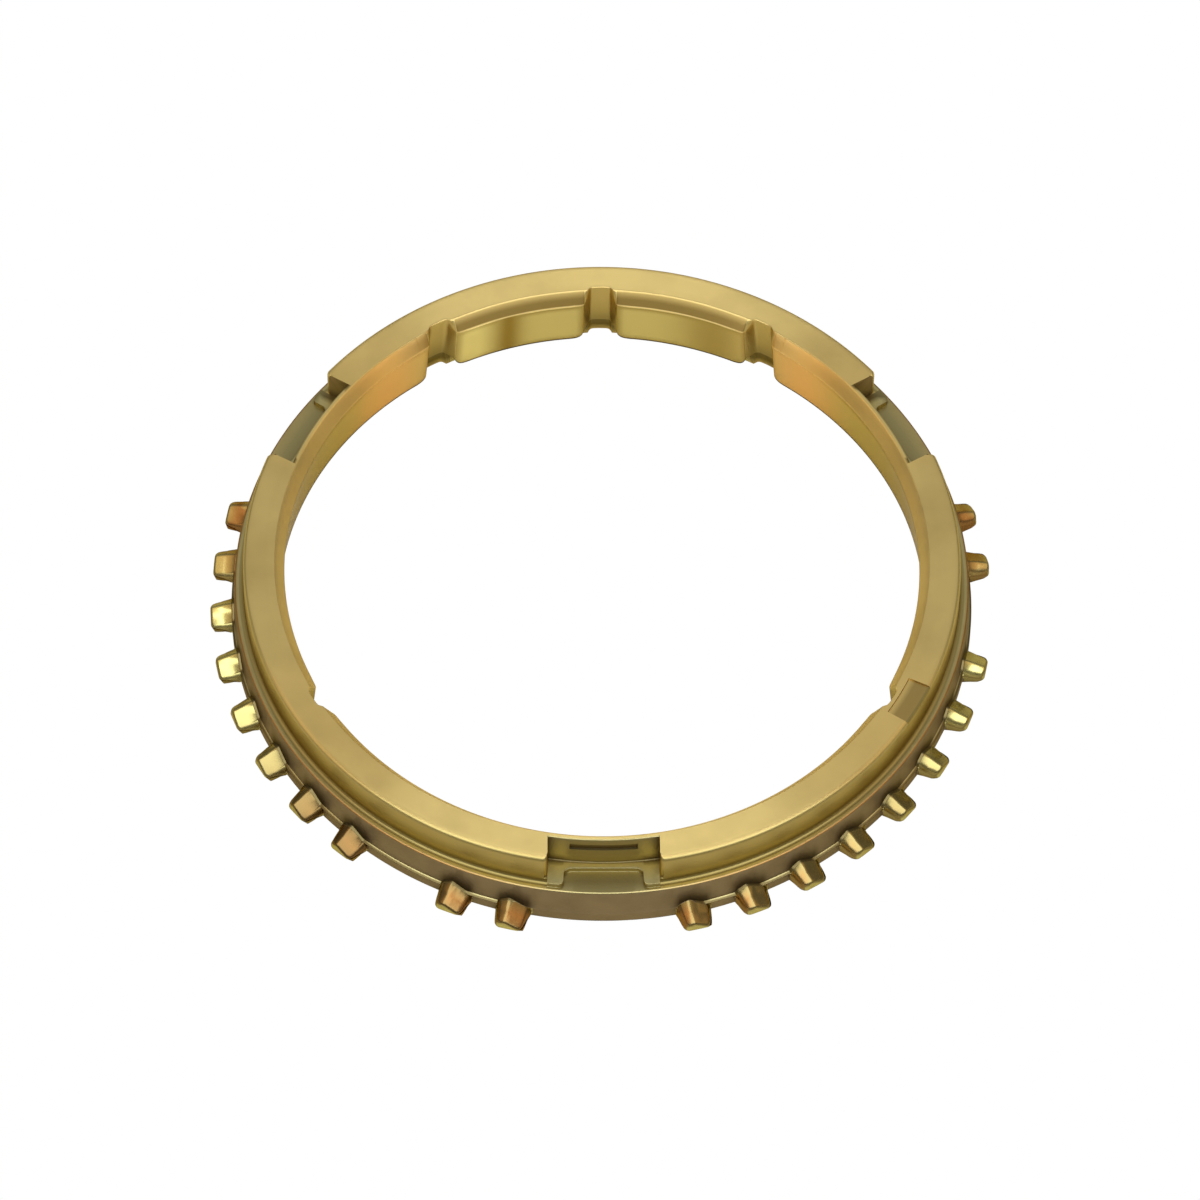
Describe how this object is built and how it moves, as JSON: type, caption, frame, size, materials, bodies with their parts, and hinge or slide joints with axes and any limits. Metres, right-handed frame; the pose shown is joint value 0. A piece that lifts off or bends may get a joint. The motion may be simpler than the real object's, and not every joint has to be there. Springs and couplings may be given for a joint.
{
  "type": "synchronizer ring",
  "caption": "Brass gearbox synchronizer ring with pointed outer blocking teeth, strut notches in the hub face, a friction cone inside and oil grooves across it.",
  "frame": {"origin": "on the ring's axis, in the plane of the gear-side face", "axes": "+Z along the axis towards the flat hub-side face; one strut notch faces -Y and the other two are 120 degrees on either side of it"},
  "size_m": [0.0798, 0.0791, 0.0091],
  "materials": {
    "brass": "turned faces on a forged body"
  },
  "bodies": {
    "root": {"synchronizer_ring": "brass"}
  },
  "joints": []
}
